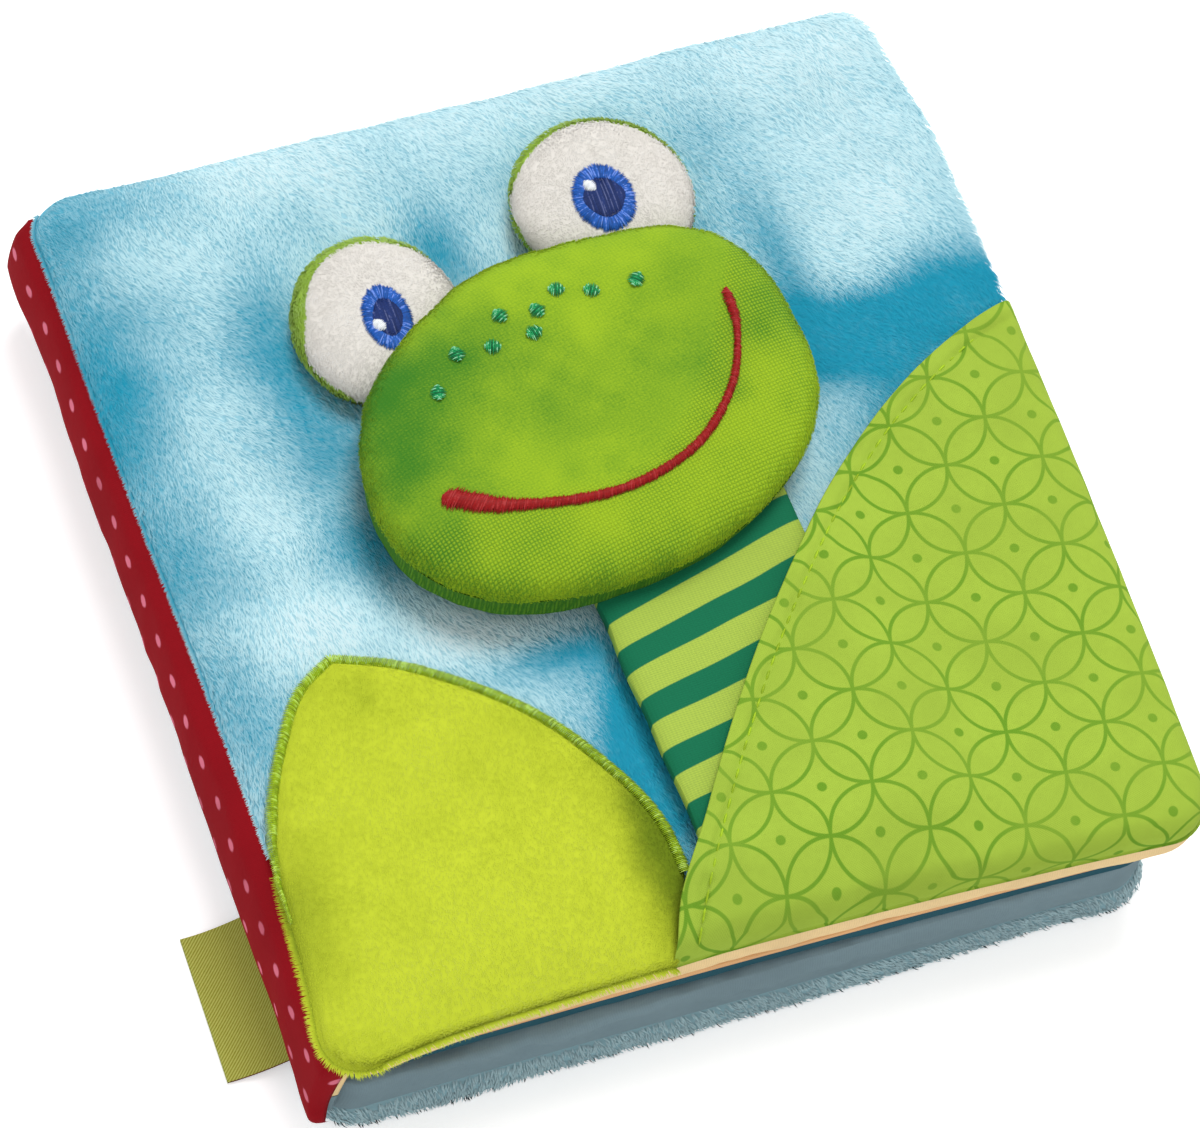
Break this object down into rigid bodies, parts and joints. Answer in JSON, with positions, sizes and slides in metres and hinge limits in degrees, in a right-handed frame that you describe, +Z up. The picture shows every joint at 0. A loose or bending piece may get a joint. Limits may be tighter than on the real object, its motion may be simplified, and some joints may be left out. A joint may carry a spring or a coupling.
{
  "type": "baby book",
  "caption": "Soft padded cloth book for a baby, with a plush cover, a leaf pocket and a stuffed frog puppet that slides up out of the pocket.",
  "frame": {"origin": "centre of the back cover's flat underside, on the surface that the closed book lies on", "axes": "+X from the spine to the fore edge, +Y up the page, +Z up from the back cover to the front cover"},
  "size_m": [0.1633, 0.1613, 0.0503],
  "materials": {
    "sky_plush": "combed short plush, light sky blue",
    "wadding": "polyester wadding, off-white",
    "pale_blue_cotton": "plain woven cotton, pale blue",
    "tag_twill": "woven twill ribbon, olive green, bare",
    "red_dotted_cotton": "woven cotton, dark red with small pink dots",
    "peach_cotton": "plain woven cotton, peach",
    "teal_cotton": "plain woven cotton, teal",
    "lime_plush": "short-pile plush, lime green",
    "green_thread": "satin stitch, green",
    "plain_green_cotton": "plain woven cotton, light green",
    "printed_green_cotton": null,
    "striped_jersey": "cotton jersey, striped in dark green and light green",
    "frog_velour": "short velour, leaf green, with its woven ground showing",
    "dark_velour": "short velour, darker green",
    "white_plush": "short-pile plush, warm white",
    "leaf_green_plush": "short-pile plush, light green",
    "dark_blue_thread": "satin stitch, dark blue",
    "blue_thread": "satin stitch, mid blue",
    "white_thread": "satin stitch, white",
    "red_thread": "satin stitch, red",
    "emerald_thread": "satin stitch, emerald green"
  },
  "bodies": {
    "back_cover": {"back_cover_plush": "sky_plush", "back_cover_wadding": "wadding", "back_cover_lining": "pale_blue_cotton", "woven_tag": "tag_twill"},
    "spine": {"spine_panel": "red_dotted_cotton", "spine_wadding": "wadding", "spine_lining_back": "pale_blue_cotton", "spine_lining_front": "peach_cotton"},
    "leaf": {"leaf_front_face": "peach_cotton", "leaf_wadding": "wadding", "leaf_back_face": "teal_cotton"},
    "front_cover": {"front_cover_plush": "sky_plush", "front_cover_wadding": "wadding", "front_cover_lining": "peach_cotton", "leaf_patch": "lime_plush", "leaf_patch_border": "green_thread", "pocket_lining": "plain_green_cotton", "pocket_panel": "printed_green_cotton"},
    "puppet": {"body_front_panel": "striped_jersey", "body_back_panel": "striped_jersey", "body_wadding": "wadding"},
    "head": {"neck_band": "striped_jersey", "head_front": "frog_velour", "head_back": "dark_velour", "head_stuffing": "wadding", "mouth_embroidery": "red_thread", "freckle_1": "emerald_thread", "freckle_2": "emerald_thread", "freckle_3": "emerald_thread", "freckle_4": "emerald_thread", "freckle_5": "emerald_thread", "freckle_6": "emerald_thread", "freckle_7": "emerald_thread", "freckle_8": "emerald_thread", "freckle_9": "emerald_thread", "left_eye_front": "white_plush", "left_eye_back": "leaf_green_plush", "left_eye_stuffing": "wadding", "left_pupil": "dark_blue_thread", "left_iris": "blue_thread", "left_glint": "white_thread", "right_eye_front": "white_plush", "right_eye_back": "leaf_green_plush", "right_eye_stuffing": "wadding", "right_pupil": "dark_blue_thread", "right_iris": "blue_thread", "right_glint": "white_thread"}
  },
  "joints": [
    {"name": "spine_fold", "type": "hinge", "parent": "back_cover", "child": "spine", "pos_m": [-0.07215, 0, 0.0054], "axis": [0, -1, 0], "range_deg": [0, 90]},
    {"name": "cover_fold", "type": "hinge", "parent": "spine", "child": "front_cover", "pos_m": [-0.07065, 0, 0.0283], "axis": [0, -1, 0], "range_deg": [0, 180]},
    {"name": "leaf_turn", "type": "hinge", "parent": "spine", "child": "leaf", "pos_m": [-0.0681, 0, 0.018], "axis": [0, -1, 0], "range_deg": [0, 90]},
    {"name": "puppet_pull", "type": "slide", "parent": "front_cover", "child": "puppet", "axis": [-0.0593, 0.9982, 0], "range_m": [0, 0.055]},
    {"name": "head_tilt", "type": "hinge", "parent": "puppet", "child": "head", "pos_m": [0.0035, -0.0186, 0.0367], "axis": [0.9744, 0.225, 0], "range_deg": [0, 75]}
  ],
  "couplings": [
    {"joint": "leaf_turn", "follows": "cover_fold", "ratio": 0.5}
  ]
}
